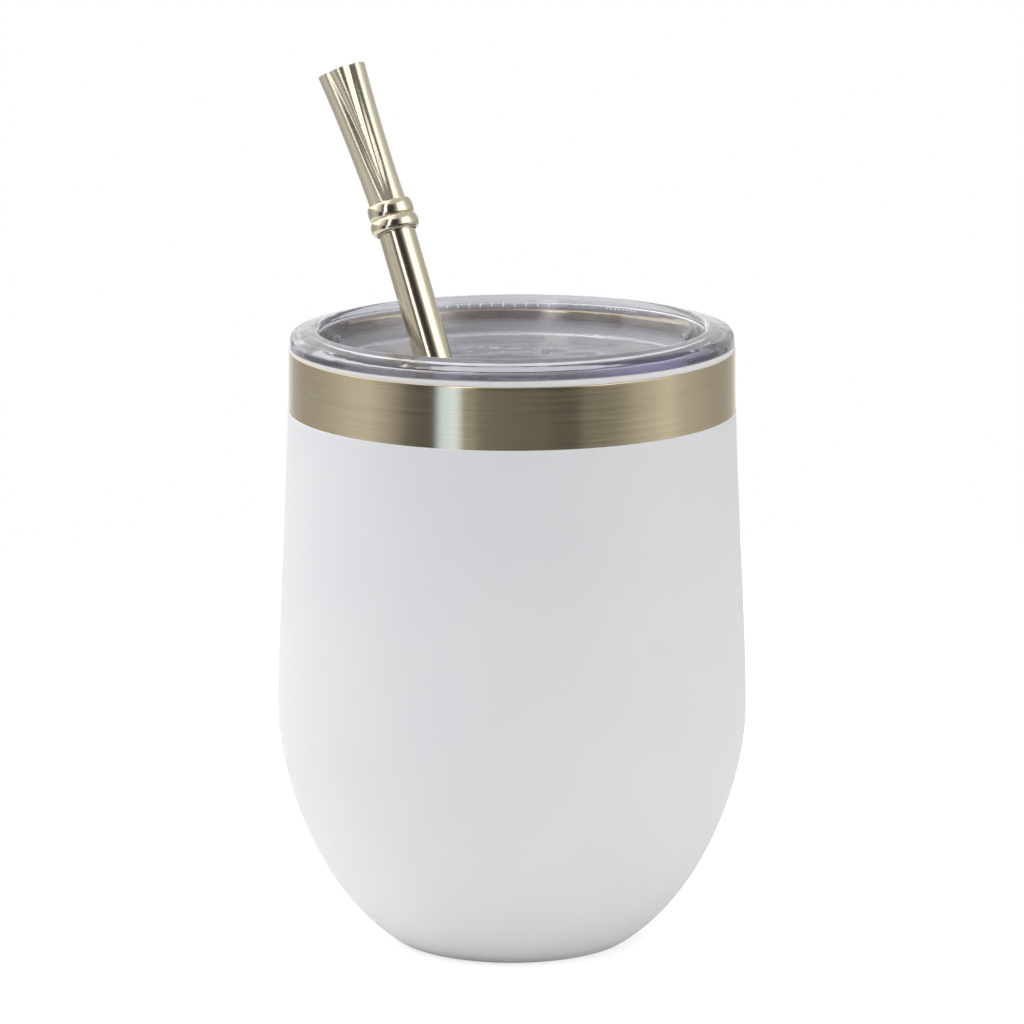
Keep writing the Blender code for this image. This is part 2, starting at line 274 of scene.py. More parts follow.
# %% Cup and lid sizes
BELLY_RADIUS = 0.0440
BELLY_HEIGHT = 0.0431
FOOT_RADIUS = 0.0226
RIM_RADIUS = 0.04154
RIM_HEIGHT = 0.1122
DROP_POWER = 1.63
SIDE_POWER = 2.58
TAPER_POWER = 1.67
COAT_TOP = 0.1008
COAT_WALL = 0.0009
BARE_STEP = 0.00012
LINER_BELLY_RADIUS = 0.0400
LINER_RIM_RADIUS = 0.0382
LINER_FLOOR_RADIUS = 0.0190
LINER_FLOOR_HEIGHT = 0.0070
LINER_WALL = 0.0008
LIP_ROUND = 0.0005
LIP_EDGE = 0.0002
FIT_GAP = 0.0003
INSET = 0.00002

TUBE_PASS = Vector((-0.0150, 0.0060, 0.1100))
TUBE_LEAN = (-0.304, 0.330)
TUBE_RADIUS = 0.0035
TUBE_WALL = 0.0005
TUBE_FOOT_HEIGHT = 0.0172
COLLAR_HEIGHT = 0.1341
JOINT_OFFSET = 0.0004


def bowl_radius(z, belly_radius, floor_height, floor_radius):
    """Radius below the belly: a superellipse, cut off at a flat floor."""
    at_floor = 1 - (floor_radius / belly_radius) ** SIDE_POWER
    reach = (BELLY_HEIGHT - floor_height) / at_floor ** (1 / DROP_POWER)
    drop = (BELLY_HEIGHT - z) / reach
    return belly_radius * (1 - drop ** DROP_POWER) ** (1 / SIDE_POWER)


def neck_radius(z, belly_radius, rim_radius):
    """Radius above the belly: a slow taper that straightens towards the rim."""
    rise = (z - BELLY_HEIGHT) / (RIM_HEIGHT - BELLY_HEIGHT)
    return belly_radius - (belly_radius - rim_radius) * math.sin(math.pi / 2 * rise) ** TAPER_POWER


def outer_radius(z):
    """Radius of the cup's outside at a height."""
    if z < BELLY_HEIGHT:
        return bowl_radius(z, BELLY_RADIUS, 0.0, FOOT_RADIUS)
    return neck_radius(z, BELLY_RADIUS, RIM_RADIUS)


def liner_radius(z, wall=0.0):
    """Radius of the liner's inside, or of its outside when given its wall."""
    belly = LINER_BELLY_RADIUS + wall
    if z < BELLY_HEIGHT:
        return bowl_radius(z, belly, LINER_FLOOR_HEIGHT - wall, LINER_FLOOR_RADIUS + wall)
    return neck_radius(z, belly, LINER_RIM_RADIUS + wall)


def wall_heights(floor_height, top_height, bowl_steps, neck_steps):
    """Heights up a wall, close together near the floor where it turns fastest."""
    depth = BELLY_HEIGHT - floor_height
    bowl = [BELLY_HEIGHT - depth * math.cos(math.pi / 2 * i / bowl_steps) for i in range(bowl_steps)]
    neck = [BELLY_HEIGHT + (top_height - BELLY_HEIGHT) * i / neck_steps for i in range(neck_steps + 1)]
    return bowl + neck


print("belly", BELLY_RADIUS * 2000, "mm across, rim", RIM_RADIUS * 2000, "mm")

# %% [markdown]
# ## Turning
# The coat, the steel, the lid, the tube and the collar are all spun or turned on the real object. One
# function turns a section of (radius, height) points round Z and closes it where it meets the axis. It
# builds rings of points itself instead of using a Screw modifier, because then the mesh is final and
# needs no merging.

# %% Turning a section
def arc(radius_at, height_at, radius, start, end, steps):
    """Points of a circular arc in the section, angles in degrees from +X."""
    angles = [math.radians(start + (end - start) * i / steps) for i in range(steps + 1)]
    return [(radius_at + radius * math.cos(a), height_at + radius * math.sin(a)) for a in angles]


def turned_mesh(name, section, sides):
    """Turn a section round Z. Its outer side runs down, and unless both ends are on the axis it is a ring."""
    on_axis = section[0][0] == 0.0 and section[-1][0] == 0.0
    rings = section[1:-1] if on_axis else section
    verts = []
    for radius, z in rings:
        for i in range(sides):
            angle = 2 * math.pi * i / sides
            verts.append((radius * math.cos(angle), radius * math.sin(angle), z))
    count = len(rings)
    faces = []
    for level in range(count - 1 if on_axis else count):
        low = level * sides
        high = (level + 1) % count * sides
        for i in range(sides):
            j = (i + 1) % sides
            faces.append((low + i, high + i, high + j, low + j))
    if on_axis:
        first = len(verts)
        verts += [(0.0, 0.0, section[0][1]), (0.0, 0.0, section[-1][1])]
        last = (count - 1) * sides
        for i in range(sides):
            j = (i + 1) % sides
            faces.append((first, i, j))
            faces.append((first + 1, last + j, last + i))
    mesh = bpy.data.meshes.new(name)
    mesh.from_pydata(verts, [], faces)
    return mesh


def evaluated_mesh(item):
    """The plain mesh that an object gives once its modifiers have run."""
    evaluated = item.evaluated_get(bpy.context.evaluated_depsgraph_get())
    return bpy.data.meshes.new_from_object(evaluated)


SHARP_FROM = math.radians(40)


def add_piece(name, mesh, material, slot, *nodes):
    """Put a finished mesh in the scene, on the object's body, in place of its frame nodes."""
    piece = bpy.data.objects.new(name, mesh)
    mesh.materials.clear()
    mesh.materials.append(material)
    mesh.shade_smooth()
    mesh.set_sharp_from_angle(angle=SHARP_FROM)
    bpy.context.scene.collection.objects.link(piece)
    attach(piece, "root")
    if nodes:
        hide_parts(*nodes)
    print(name, len(mesh.polygons), "faces")
    return piece


# %% [markdown]
# ## White coat
# Powder coat is sprayed as dry plastic powder and baked until it melts. It gives a matt, very slightly
# pebbled skin with a soft sheen at its edges. Fine noise makes the pebble, and its roughness is not quite
# even.

# %% Powder coat
COAT_FLOOR = 0.0010
COAT_EDGE = 0.00025
GRAIN_MM = 0.45


def powder_coat():
    """Baked polyester powder: matt off-white with a fine pebble."""
    material, tree, output = new_material("powder_coat_white")
    place = add_node(tree, "ShaderNodeTexCoord")
    grain = add_node(tree, "ShaderNodeTexNoise", {
        "Vector": place.outputs["Object"], "Scale": 1000 / GRAIN_MM, "Detail": 3.0, "Roughness": 0.6})
    cloud = add_node(tree, "ShaderNodeTexNoise", {
        "Vector": place.outputs["Object"], "Scale": 60.0, "Detail": 2.0})
    tone = add_node(tree, "ShaderNodeMix", {"Factor": cloud.outputs["Fac"], 6: linear("#E6E7E9"),
                                            7: linear("#ECEDEE")}, data_type="RGBA")
    rough = add_node(tree, "ShaderNodeMapRange", {
        "Value": grain.outputs["Fac"], "To Min": 0.42, "To Max": 0.58})
    bump = add_node(tree, "ShaderNodeBump", {"Height": grain.outputs["Fac"], "Strength": 0.10,
                                             "Distance": 0.0001})
    shader = add_node(tree, "ShaderNodeBsdfPrincipled", {
        "Base Color": tone.outputs[2], "Roughness": rough.outputs[0], "IOR": 1.5, "Normal": bump.outputs[0]})
    tree.links.new(shader.outputs[0], output.inputs["Surface"])
    return material


def coat_section():
    """The coated wall's section: inside, over its bare upper edge, down the outside to the flat foot."""
    inner_heights = wall_heights(COAT_FLOOR, COAT_TOP - COAT_EDGE, 24, 20)
    outer_heights = wall_heights(INSET, COAT_TOP - 2 * COAT_EDGE, 48, 40)
    inside = [(outer_radius(z) - COAT_WALL, z) for z in inner_heights]
    over = arc(outer_radius(COAT_TOP) - INSET - COAT_EDGE, COAT_TOP - COAT_EDGE, COAT_EDGE, 90, 0, 5)
    outside = [(outer_radius(z) - INSET, z) for z in outer_heights]
    return [(0.0, COAT_FLOOR)] + inside + over + outside[::-1] + [(0.0, INSET)]


CUP_SIDES = 224
add_piece("coated_wall", turned_mesh("coated_wall", coat_section(), CUP_SIDES), powder_coat(), "white_coat",
          "outer_shell")

# %% [markdown]
# ## Bare steel
# The inner cup is deep-drawn stainless steel, turned flat at the lip and brushed while the cup spins. The
# brush leaves hair lines round the cup, so a reflection smears up and down but stays sharp from side to
# side. An anisotropic shader does that, and noise that is stretched along the lines gives them their
# uneven depth.

# %% Brushed steel
LINE_MM = 0.35
LINE_STRETCH = 60
BAND_HEIGHTS = (0.1112, 0.1100, 0.1070, 0.1040, 0.1012)
BAND_TUCK = 0.0004
BAND_ROOT = 0.1030
LINER_JOIN = 0.1050
LINER_BACK_TOP = 0.1045


def brushed_steel():
    """Stainless steel brushed round the cup, with a warm tone."""
    material, tree, output = new_material("stainless_steel_brushed")
    place = add_node(tree, "ShaderNodeTexCoord")
    across = 1000 / LINE_MM
    lines_place = add_node(tree, "ShaderNodeMapping", {
        "Vector": place.outputs["Object"], "Scale": (across / LINE_STRETCH, across / LINE_STRETCH, across)})
    lines = add_node(tree, "ShaderNodeTexNoise", {
        "Vector": lines_place.outputs[0], "Scale": 1.0, "Detail": 4.0, "Roughness": 0.7})
    tone = add_node(tree, "ShaderNodeMix", {"Factor": lines.outputs["Fac"], 6: linear("#CBBE9E"),
                                            7: linear("#D9CDAE")}, data_type="RGBA")
    rough = add_node(tree, "ShaderNodeMapRange", {
        "Value": lines.outputs["Fac"], "To Min": 0.13, "To Max": 0.21})
    bump = add_node(tree, "ShaderNodeBump", {"Height": lines.outputs["Fac"], "Strength": 0.12,
                                             "Distance": 0.00004})
    tangent = add_node(tree, "ShaderNodeTangent", direction_type="RADIAL", axis="Z")
    shader = add_node(tree, "ShaderNodeBsdfPrincipled", {
        "Base Color": tone.outputs[2], "Metallic": 1.0, "Roughness": rough.outputs[0], "Anisotropic": 0.9,
        "Anisotropic Rotation": 0.25, "Tangent": tangent.outputs[0], "Normal": bump.outputs[0]})
    tree.links.new(shader.outputs[0], output.inputs["Surface"])
    return material


def liner_section():
    """The inner cup's section: inside, over the flat lip, down the band, and back behind the coat."""
    lip_outside = outer_radius(RIM_HEIGHT) - BARE_STEP
    lip_height = RIM_HEIGHT - LIP_ROUND
    inside = [(liner_radius(z), z) for z in wall_heights(LINER_FLOOR_HEIGHT, lip_height, 24, 20)]
    lip = arc(LINER_RIM_RADIUS + LIP_ROUND, lip_height, LIP_ROUND, 172, 90, 6)
    lip += arc(lip_outside - LIP_EDGE, RIM_HEIGHT - LIP_EDGE, LIP_EDGE, 90, 0, 7)
    foot = COAT_TOP - BAND_TUCK
    band = [(outer_radius(z) - BARE_STEP, z) for z in (*BAND_HEIGHTS, foot)]
    tuck = outer_radius(foot) - COAT_WALL + INSET
    behind = [(tuck, foot), (tuck - BAND_TUCK, BAND_ROOT)]
    root = [(liner_radius(LINER_JOIN, LINER_WALL), LINER_JOIN)]
    heights = wall_heights(LINER_FLOOR_HEIGHT - LINER_WALL, LINER_BACK_TOP, 24, 20)
    back = [(liner_radius(z, LINER_WALL), z) for z in heights]
    floor = LINER_FLOOR_HEIGHT
    return [(0.0, floor)] + inside + lip + band + behind + root + back[::-1] + [(0.0, floor - LINER_WALL)]


add_piece("brushed_liner", turned_mesh("brushed_liner", liner_section(), CUP_SIDES), brushed_steel(),
          "brushed_steel", "steel_liner")

# %% [markdown]
# ## Clear lid
# The lid is injection moulded in one shot of clear copolyester. Its rim is hollow from below, and inside
# it the wall slopes down like a funnel to a floor that is dished a little. The whole lid sits slightly
# tipped. Clear plastic shows only by what it bends and mirrors, so its section matters more than its
# colour. The hole is cut with a Boolean whose cutter flares at the top, which leaves the edge softened.

# %% Lid section
LID_FRONT_UP = 0.0113
LID_RIGHT_UP = 0.0070
LID_RADIUS = 0.0412
LID_SIDE = 0.0009
LID_SHOULDER = 0.0014
LID_EDGE = 0.0002
LID_REST = 0.00003
LID_CREST_RADIUS = 0.0369
LID_CREST_HEIGHT = 0.1161
LID_CREST_ROUND = 0.0013
WELL_SLOPE = math.radians(23)
WELL_FLOOR_HEIGHT = 0.1095
WELL_CORNER = 0.0018
PLATE_THICKNESS = 0.0016
DISH_RADIUS = 0.0315
DISH_DEPTH = 0.0018
RIPPLE_HEIGHT = 0.00009
RIPPLE_PITCH = 0.0140
RIPPLE_FIRST = 0.0095
CAVITY_OUTSIDE = 0.0396
CAVITY_INSIDE = 0.0369
CAVITY_TOP = 0.1143
CAVITY_FALL = 0.0003
CAVITY_ROUND = 0.0005
SKIRT_OUTSIDE = 0.0365
SKIRT_INSIDE = 0.0351
SKIRT_BOTTOM = 0.1040
BEAD_HEIGHT = 0.1062
BEAD_HALF = 0.0012
BEAD_RADIUS = 0.0378
HOLE_RADIUS = 0.0060
HOLE_SHIFT = 0.0012
LID_SIDES = 256
FLOOR_STEPS = 90
CREST_END = 78
CUTTER_FLARE = 0.0003
CUTTER_REACH = 0.01


def plate_height(radius):
    """Height of the well's floor: a shallow dish with slow rings that die out at its edge."""
    share = min(radius / DISH_RADIUS, 1.0) ** 2
    ripple = RIPPLE_HEIGHT * math.cos(2 * math.pi * (radius - RIPPLE_FIRST) / RIPPLE_PITCH)
    return WELL_FLOOR_HEIGHT - DISH_DEPTH * (1 - share) + ripple * (1 - share ** 4)


def lid_foot_height():
    """Where the lid's side ends: high enough to clear the lip on the low side of the tipped lid."""
    return RIM_HEIGHT + LID_REST + LID_RADIUS * math.hypot(LID_FRONT_UP, LID_RIGHT_UP)


def lid_section():
    """The lid's section, from the middle of its floor, over its rim, and back below."""
    floor = WELL_FLOOR_HEIGHT
    sine, cosine = math.sin(WELL_SLOPE), math.cos(WELL_SLOPE)
    crest_centre = LID_CREST_HEIGHT - LID_CREST_ROUND
    wall_top = (LID_CREST_RADIUS - LID_CREST_ROUND * cosine, crest_centre + LID_CREST_ROUND * sine)
    corner_centre = wall_top[0] + (sine * (floor + WELL_CORNER - wall_top[1]) - WELL_CORNER) / cosine
    slope = math.degrees(WELL_SLOPE)
    corner = arc(corner_centre, floor + WELL_CORNER, WELL_CORNER, -90, -slope, 8)
    crest = arc(LID_CREST_RADIUS, crest_centre, LID_CREST_ROUND, 180 - slope, CREST_END, 14)
    radii = [corner_centre * i / FLOOR_STEPS for i in range(FLOOR_STEPS)]
    top = [(radius, plate_height(radius)) for radius in radii]
    side_foot = lid_foot_height()
    side_top = side_foot + FIT_GAP - LID_REST + LID_SIDE
    shoulder = arc(LID_RADIUS - LID_SHOULDER - INSET, side_top, LID_SHOULDER, CREST_END, 0, 12)
    under = arc(LID_RADIUS - LID_EDGE - INSET, side_foot + LID_EDGE, LID_EDGE, 0, -90, 4)
    cavity = [(CAVITY_OUTSIDE, side_foot)]
    round_height = CAVITY_TOP - CAVITY_ROUND
    cavity += arc(CAVITY_OUTSIDE - CAVITY_ROUND, round_height - CAVITY_FALL, CAVITY_ROUND, 0, 90, 5)
    cavity += arc(CAVITY_INSIDE + CAVITY_ROUND, round_height, CAVITY_ROUND, 90, 180, 5)
    cavity += [(CAVITY_INSIDE, side_foot - CAVITY_ROUND), (SKIRT_OUTSIDE, side_foot - 2 * CAVITY_ROUND)]
    bead = [(SKIRT_OUTSIDE, BEAD_HEIGHT + BEAD_HALF)]
    bead += [(BEAD_RADIUS, BEAD_HEIGHT + BEAD_HALF / 3), (BEAD_RADIUS, BEAD_HEIGHT - BEAD_HALF / 3)]
    bead += [(SKIRT_OUTSIDE, BEAD_HEIGHT - BEAD_HALF)]
    skirt = [(SKIRT_OUTSIDE, SKIRT_BOTTOM), (SKIRT_INSIDE, SKIRT_BOTTOM)]
    below = [(SKIRT_INSIDE, floor - PLATE_THICKNESS)]
    below += [(radius, height - PLATE_THICKNESS) for radius, height in top[::-3] if radius < DISH_RADIUS]
    below += [(0.0, plate_height(0.0) - PLATE_THICKNESS)]
    return top + corner + crest + shoulder + under + cavity + bead + skirt + below


def lid_seat():
    """How the lid sits: its front and its right side stand a little proud of the lip."""
    pivot = Vector((0.0, 0.0, RIM_HEIGHT))
    tip = Euler((-math.atan(LID_FRONT_UP), -math.atan(LID_RIGHT_UP), 0.0)).to_matrix().to_4x4()
    return Matrix.Translation(pivot) @ tip @ Matrix.Translation(-pivot)


def tube_point(z):
    """A point on the drinking tube's axis at a height."""
    rise = z - TUBE_PASS.z
    return TUBE_PASS + Vector((TUBE_LEAN[0] * rise, TUBE_LEAN[1] * rise, rise))


# The first three place painted light on the lid's rim: radii where the grey painted shade comes in, then the
# direction and reach of the painted violet reflection
RIM_PAINTED_SHADE_RADII = (0.0375, 0.0405)
VIOLET_REFLECTION_TOWARD = (0.67, -0.74, 0.0)
VIOLET_REFLECTION_REACH = (0.037, 0.041)
CLOUD_HEIGHTS = (0.1106, 0.1116)
CLEAR_SHARES = (0.68, 0.94)


def lid_tone_and_painted_light(tree, place):
    """Nearly colourless, with painted shade that greys the rim, and a painted violet reflection on the rim at
    the right in front.
    """
    flat = add_node(tree, "ShaderNodeVectorMath", {0: place, 1: (1.0, 1.0, 0.0)}, operation="MULTIPLY")
    radius = add_node(tree, "ShaderNodeVectorMath", {0: flat.outputs[0]}, operation="LENGTH")
    # Share of the painted shade, growing towards the rim
    edge = add_node(tree, "ShaderNodeMapRange", {
        "Value": radius.outputs["Value"], "From Min": RIM_PAINTED_SHADE_RADII[0], "From Max": RIM_PAINTED_SHADE_RADII[1]})
    # Share of the painted violet reflection, at the right in front
    toward = add_node(tree, "ShaderNodeVectorMath", {0: place, 1: VIOLET_REFLECTION_TOWARD}, operation="DOT_PRODUCT")
    violet_reflection_share = add_node(tree, "ShaderNodeMapRange", {
        "Value": toward.outputs["Value"], "From Min": VIOLET_REFLECTION_REACH[0], "From Max": VIOLET_REFLECTION_REACH[1]})
    # Painted shade on the rim: grey, turning violet where the painted reflection falls
    rim = add_node(tree, "ShaderNodeMix", {
        "Factor": violet_reflection_share.outputs[0], 6: linear("#ADAAB0"), 7: linear("#B3ACD6")}, data_type="RGBA")
    tone = add_node(tree, "ShaderNodeMix", {
        "Factor": edge.outputs[0], 6: linear("#EDEDF4"), 7: rim.outputs[2]}, data_type="RGBA")
    return tone.outputs[2]


def clear_plastic():
    """Clear copolyester, moulded glossy with slow waves, and a little cloudy in the well's floor."""
    material, tree, output = new_material("clear_copolyester_moulded")
    place = add_node(tree, "ShaderNodeTexCoord").outputs["Object"]
    flow = add_node(tree, "ShaderNodeTexNoise", {
        "Vector": place, "Scale": 110.0, "Detail": 1.5, "Distortion": 0.6})
    bump = add_node(tree, "ShaderNodeBump", {
        "Height": flow.outputs["Fac"], "Strength": 0.42, "Distance": 0.0006})
    height = add_node(tree, "ShaderNodeSeparateXYZ", {0: place})
    clear = add_node(tree, "ShaderNodeMapRange", {
        "Value": height.outputs["Z"], "From Min": CLOUD_HEIGHTS[0], "From Max": CLOUD_HEIGHTS[1],
        "To Min": CLEAR_SHARES[0], "To Max": CLEAR_SHARES[1]})
    # The base colour carries the painted rim shade and the painted violet reflection
    shader = add_node(tree, "ShaderNodeBsdfPrincipled", {
        "Base Color": lid_tone_and_painted_light(tree, place), "Roughness": 0.03, "IOR": 1.55,
        "Transmission Weight": clear.outputs[0], "Normal": bump.outputs[0]})
    tree.links.new(shader.outputs[0], output.inputs["Surface"])
    return material


def cut_hole(lid_mesh):
    """The lid's mesh with the tube's hole cut through its floor."""
    lid = bpy.data.objects.new("lid_blank", lid_mesh)
    lean = Vector((*TUBE_LEAN, 0.0)).normalized()
    centre = tube_point(WELL_FLOOR_HEIGHT) - lean * HOLE_SHIFT
    wide = HOLE_RADIUS + CUTTER_FLARE
    top = WELL_FLOOR_HEIGHT - DISH_DEPTH
    section = [(0.0, top + CUTTER_REACH), (wide, top + CUTTER_REACH), (wide, top)]
    section += [(HOLE_RADIUS, top - CUTTER_FLARE), (HOLE_RADIUS, top - CUTTER_REACH)]
    section += [(0.0, top - CUTTER_REACH)]
    cutter = bpy.data.objects.new("hole_cutter", turned_mesh("hole_cutter", section, 96))
    cutter.location = (centre.x, centre.y, 0.0)
    for item in (lid, cutter):
        bpy.context.scene.collection.objects.link(item)
    cut = lid.modifiers.new("Tube hole", "BOOLEAN")
    cut.operation = "DIFFERENCE"
    cut.object = cutter
    mesh = evaluated_mesh(lid)
    for item in (lid, cutter):
        bpy.data.objects.remove(item, do_unlink=True)
    mesh.name = "moulded_lid"
    return mesh


lid_blank = turned_mesh("lid_blank", lid_section(), LID_SIDES)
lid_blank.transform(lid_seat())
lid_mesh = cut_hole(lid_blank)
CLEAR = clear_plastic()
add_piece("moulded_lid", lid_mesh, CLEAR, "clear_plastic", "clear_lid")

# %% [markdown]
# ## Ribs in the rim
# A row of short ribs stands on the well's wall at the back, with a patch of smaller studs beside it and a
# clear lug low down at each side. What repeats by a rule is what Geometry Nodes are for: a tree puts a
# point at each step of the angle, sets a rib on each point, turned to face the middle and leaning with
# the wall, and makes the ribs real. One tree, given other sizes, makes all three. Three helpers build,
# end and run any such tree.

# %% Geometry Nodes helpers
def new_geometry_tree(name, inputs):
    """A Geometry Nodes tree with named inputs: (tree, its input node)."""
    tree = bpy.data.node_groups.new(name, "GeometryNodeTree")
    tree.interface.new_socket("Geometry", in_out="OUTPUT", socket_type="NodeSocketGeometry")
    for label, kind in inputs:
        tree.interface.new_socket(label, in_out="INPUT", socket_type=kind)
    return tree, add_node(tree, "NodeGroupInput")


def finish_tree(tree, given, geometry):
    """End a tree as the export needs it: instances made real, the material set."""
    real = add_node(tree, "GeometryNodeRealizeInstances", {"Geometry": geometry})
    painted = add_node(tree, "GeometryNodeSetMaterial", {"Geometry": real.outputs[0],
                                                         "Material": given.outputs["Material"]})
    add_node(tree, "NodeGroupOutput", {0: painted.outputs[0]})


def run_tree(tree, name, values):
    """The plain mesh that a tree makes from values for its named inputs."""
    carrier = bpy.data.objects.new(name, bpy.data.meshes.new(name))
    bpy.context.scene.collection.objects.link(carrier)
    modifier = carrier.modifiers.new("Rule", "NODES")
    modifier.node_group = tree
    for socket in tree.interface.items_tree:
        if socket.in_out == "INPUT":
            modifier[socket.identifier] = values[socket.name]
    carrier.update_tag()
    mesh = evaluated_mesh(carrier)
    carrier.modifiers.remove(modifier)
    bpy.data.objects.remove(carrier, do_unlink=True)
    mesh.name = name
    return mesh


print("geometry helpers ready")

# %% Rim ribs
RIB_LENGTH = 0.00105
RIB_WIDTH = 0.00036
RIB_DEPTH = 0.00080
RIB_HEIGHT = 0.11425
STUD_SIZE = 0.00042
LUG_HEIGHT = 0.1119
LUG_SIZE = (0.0040, 0.0018, 0.0019)


def rib_row_tree():
    """A row of rounded ribs on a cone's inside, spaced by angle from straight behind."""
    real = "NodeSocketFloat"
    sockets = [("Count", "NodeSocketInt"), ("Radius", real), ("Height", real), ("First Angle", real),
               ("Step Angle", real), ("Lean", real), ("Size", "NodeSocketVector"),
               ("Material", "NodeSocketMaterial")]
    tree, given = new_geometry_tree("rib_row", sockets)
    number = add_node(tree, "GeometryNodeInputIndex")
    angle = add_node(tree, "ShaderNodeMath", {0: number.outputs[0], 1: given.outputs["Step Angle"],
                                              2: given.outputs["First Angle"]}, operation="MULTIPLY_ADD")
    sine = add_node(tree, "ShaderNodeMath", {0: angle.outputs[0]}, operation="SINE")
    cosine = add_node(tree, "ShaderNodeMath", {0: angle.outputs[0]}, operation="COSINE")
    right = add_node(tree, "ShaderNodeMath", {0: sine.outputs[0], 1: given.outputs["Radius"]},
                     operation="MULTIPLY")
    back = add_node(tree, "ShaderNodeMath", {0: cosine.outputs[0], 1: given.outputs["Radius"]},
                    operation="MULTIPLY")
    spot = add_node(tree, "ShaderNodeCombineXYZ", {0: right.outputs[0], 1: back.outputs[0],
                                                   2: given.outputs["Height"]})
    points = add_node(tree, "GeometryNodePoints", {
        "Count": given.outputs["Count"], "Position": spot.outputs[0]})
    ball = add_node(tree, "GeometryNodeMeshUVSphere", {"Segments": 16, "Rings": 10, "Radius": 0.5})
    rib = add_node(tree, "GeometryNodeTransform", {
        "Geometry": ball.outputs[0], "Scale": given.outputs["Size"]})
    facing = add_node(tree, "ShaderNodeMath", {0: angle.outputs[0], 1: -1.0}, operation="MULTIPLY")
    turn = add_node(tree, "ShaderNodeCombineXYZ", {0: given.outputs["Lean"], 2: facing.outputs[0]})
    row = add_node(tree, "GeometryNodeInstanceOnPoints", {
        "Points": points.outputs[0], "Instance": rib.outputs[0], "Rotation": turn.outputs[0]})
    finish_tree(tree, given, row.outputs[0])
    return tree


def painted_glint_plastic():
    """The same copolyester made opaque white: the white is a painted highlight, standing in for glints on the
    ribs and studs.
    """
    material, tree, output = new_material("clear_copolyester_painted_glint")
    place = add_node(tree, "ShaderNodeTexCoord")
    grain = add_node(tree, "ShaderNodeTexNoise", {"Vector": place.outputs["Object"], "Scale": 5000.0})
    rough = add_node(tree, "ShaderNodeMapRange", {
        "Value": grain.outputs["Fac"], "To Min": 0.25, "To Max": 0.45})
    shader = add_node(tree, "ShaderNodeBsdfPrincipled", {
        "Base Color": linear("#FFFFFF"), "Roughness": rough.outputs[0], "IOR": 1.55})
    tree.links.new(shader.outputs[0], output.inputs["Surface"])
    return material


def well_wall_radius(z):
    """Radius of the sloping wall inside the lid at a height."""
    rise = LID_CREST_HEIGHT - LID_CREST_ROUND - z
    return LID_CREST_RADIUS - (LID_CREST_ROUND + math.sin(WELL_SLOPE) * rise) / math.cos(WELL_SLOPE)


# Ribs and studs are shaped, and their white finish is a painted highlight for the glints on them
GLINT_WHITE = painted_glint_plastic()
rib_tree = rib_row_tree()
rib_rows = {
    "rim_ribs": {"Count": 10, "First Angle": -20.7, "Step Angle": 3.6, "Height": RIB_HEIGHT,
                 "Size": (RIB_WIDTH, RIB_DEPTH, RIB_LENGTH), "Material": GLINT_WHITE},
    "rim_studs": {"Count": 8, "First Angle": 31.0, "Step Angle": 1.5, "Height": RIB_HEIGHT,
                  "Size": (STUD_SIZE, STUD_SIZE, STUD_SIZE), "Material": GLINT_WHITE},
    "wall_lugs": {"Count": 2, "First Angle": -73.0, "Step Angle": 146.0, "Height": LUG_HEIGHT,
                  "Size": LUG_SIZE, "Material": CLEAR},
}
for row_name, row in rib_rows.items():
    for label in ("First Angle", "Step Angle"):
        row[label] = math.radians(row[label])
    row.update({"Radius": well_wall_radius(row["Height"]), "Lean": -WELL_SLOPE})
    row_mesh = run_tree(rib_tree, row_name, row)
    row_mesh.transform(lid_seat())
    add_piece(row_name, row_mesh, row["Material"], "clear_plastic")

# %% [markdown]
# ## Seal
# A ring of silicone fills the gap between the lid and the lip. The lid is not pressed quite home, so the
# gap is a wedge, widest in front. The ring is turned with flat faces, and then only its upper points are
# tipped with the lid, which gives it the wedge's shape. Silicone is milky: it lets light in and scatters
# it.

# %% Silicone seal
SEAL_INSIDE = 0.0388
SEAL_OUTSIDE = 0.0413
SEAL_EDGE = 0.00002
SEAL_SIDES = 192


def milky_silicone():
    """Cast silicone rubber: milky white, soft sheen, slightly cloudy."""
    material, tree, output = new_material("silicone_rubber_milky")
    place = add_node(tree, "ShaderNodeTexCoord")
    cloud = add_node(tree, "ShaderNodeTexNoise", {
        "Vector": place.outputs["Object"], "Scale": 250.0, "Detail": 2.0})
    tone = add_node(tree, "ShaderNodeMix", {"Factor": cloud.outputs["Fac"], 6: linear("#F1EFEF"),
                                            7: linear("#F8F6F6")}, data_type="RGBA")
    shader = add_node(tree, "ShaderNodeBsdfPrincipled", {
        "Base Color": tone.outputs[2], "Roughness": 0.35, "IOR": 1.41, "Subsurface Weight": 0.3,
        "Subsurface Radius": (0.001, 0.001, 0.001), "Subsurface Scale": 1.0})
    tree.links.new(shader.outputs[0], output.inputs["Surface"])
    return material


def seal_mesh():
    """A ring that lies flat on the lip, with its upper face tipped as the lid is."""
    low = RIM_HEIGHT + SEAL_EDGE / 2
    high = lid_foot_height() - SEAL_EDGE / 2
    mesh = turned_mesh("silicone_seal", [(SEAL_OUTSIDE, high), (SEAL_OUTSIDE, low), (SEAL_INSIDE, low),
                                         (SEAL_INSIDE, high)], SEAL_SIDES)
    seat = lid_seat()
    for point in mesh.vertices:
        if point.co.z > (low + high) / 2:
            point.co = seat @ point.co
    return mesh


add_piece("silicone_seal", seal_mesh(), milky_silicone(), "clear_plastic")

# %% [markdown]
# ## Drinking tube
# The tube is thin steel pipe, polished along its length. It leans towards -X and +Y. A placement matrix
# turns a piece that was built upright on Z so that its Z runs up the lean, and then it is baked into the
# mesh.

